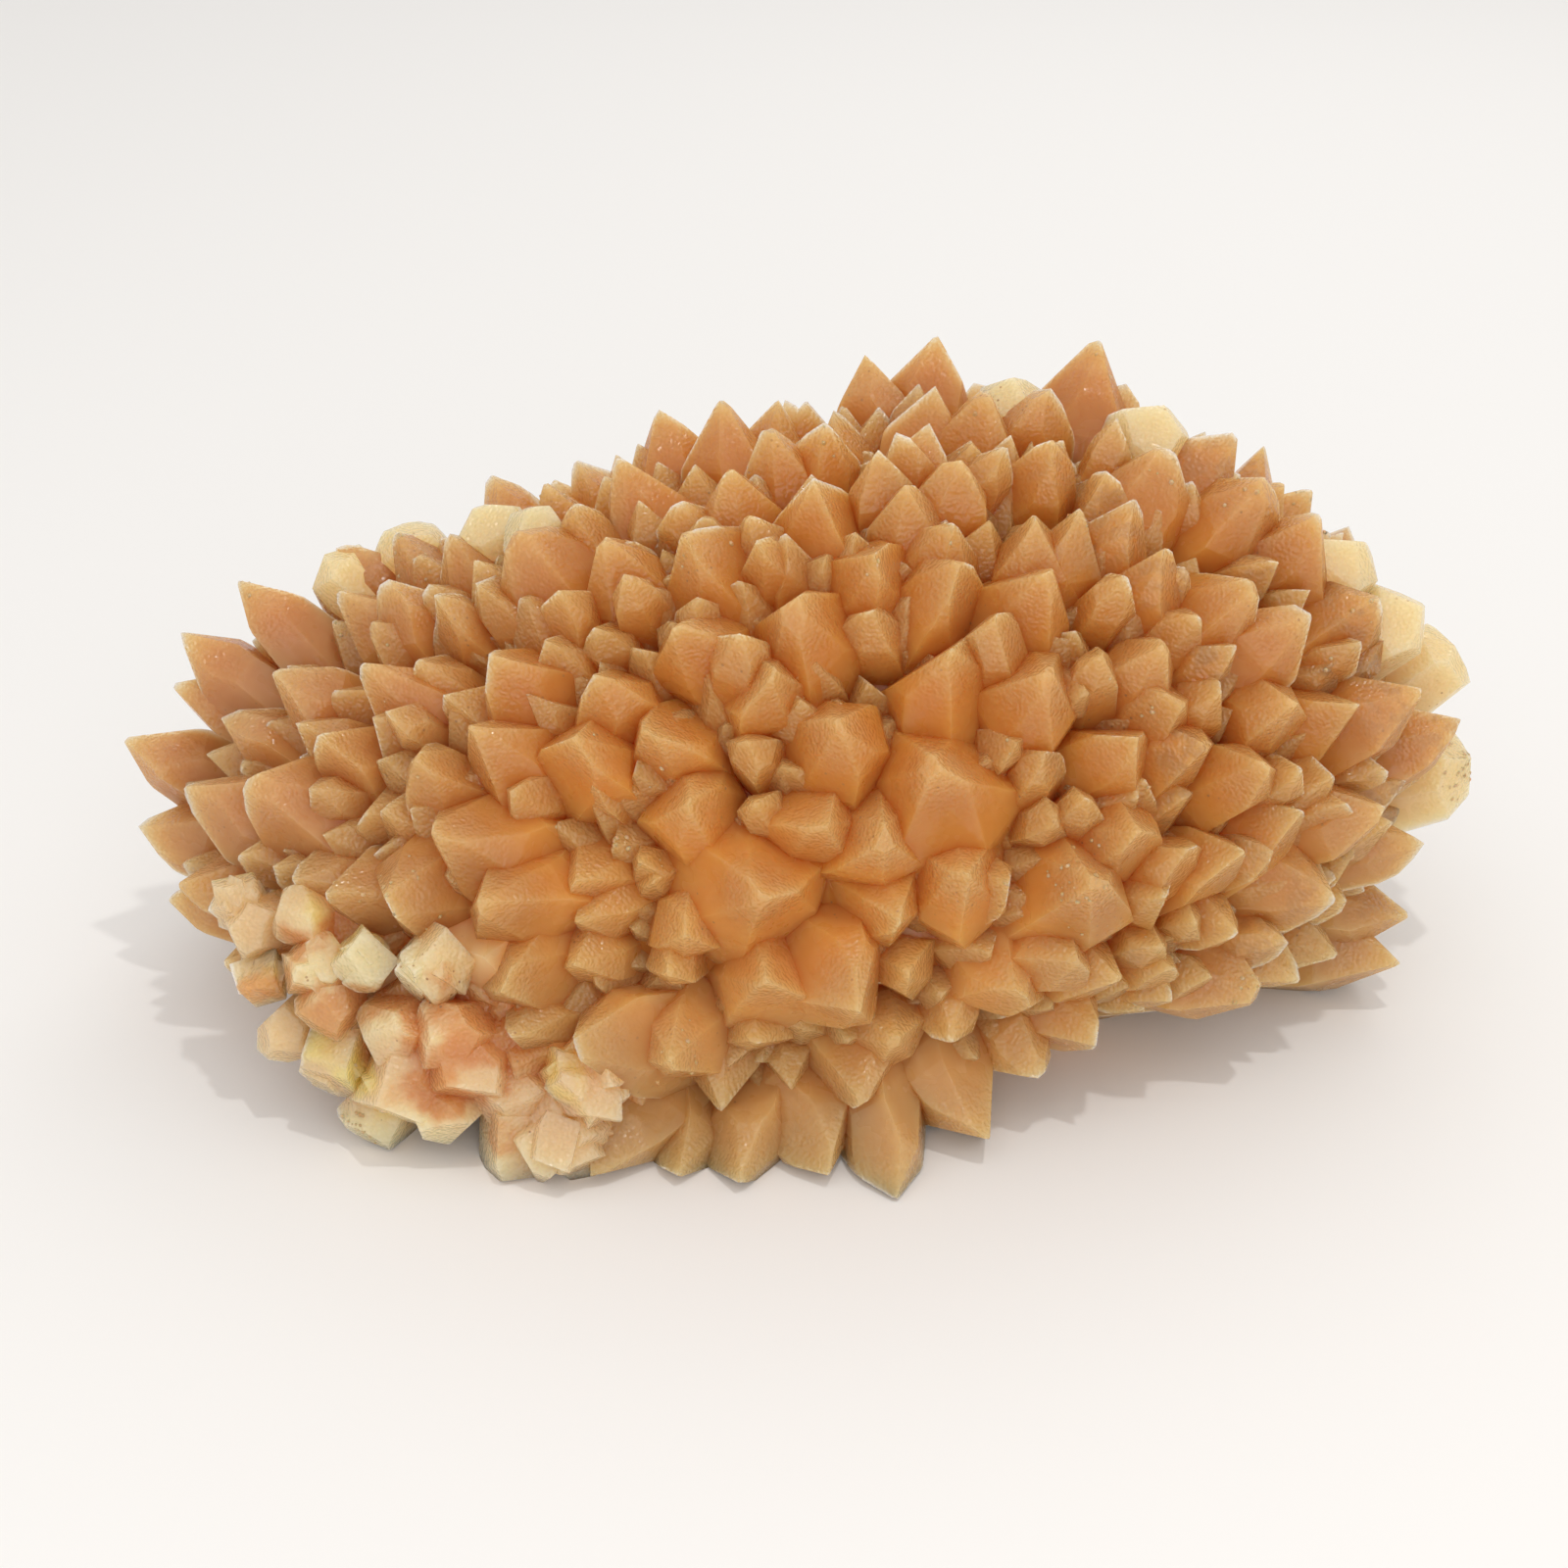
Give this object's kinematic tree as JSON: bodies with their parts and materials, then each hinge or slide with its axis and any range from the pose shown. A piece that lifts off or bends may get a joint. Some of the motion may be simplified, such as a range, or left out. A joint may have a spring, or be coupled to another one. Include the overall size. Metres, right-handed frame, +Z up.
{
  "type": "dogtooth calcite cluster",
  "caption": "Low mound of translucent honey-coloured dogtooth calcite crystals pointing outward, with paler blocky calcite at one corner, cut flat underneath to rest on a surface.",
  "frame": {"origin": "middle of the base of the bounding box", "axes": "+X along the length, towards the taller end; +Z up; the front, with the largest crystals, faces -Y"},
  "size_m": [0.3068, 0.1862, 0.1478],
  "materials": {
    "calcite": "waxy, translucent honey-orange crystal faces with a soft gloss"
  },
  "bodies": {
    "root": {"calcite_cluster": "calcite"}
  },
  "joints": []
}
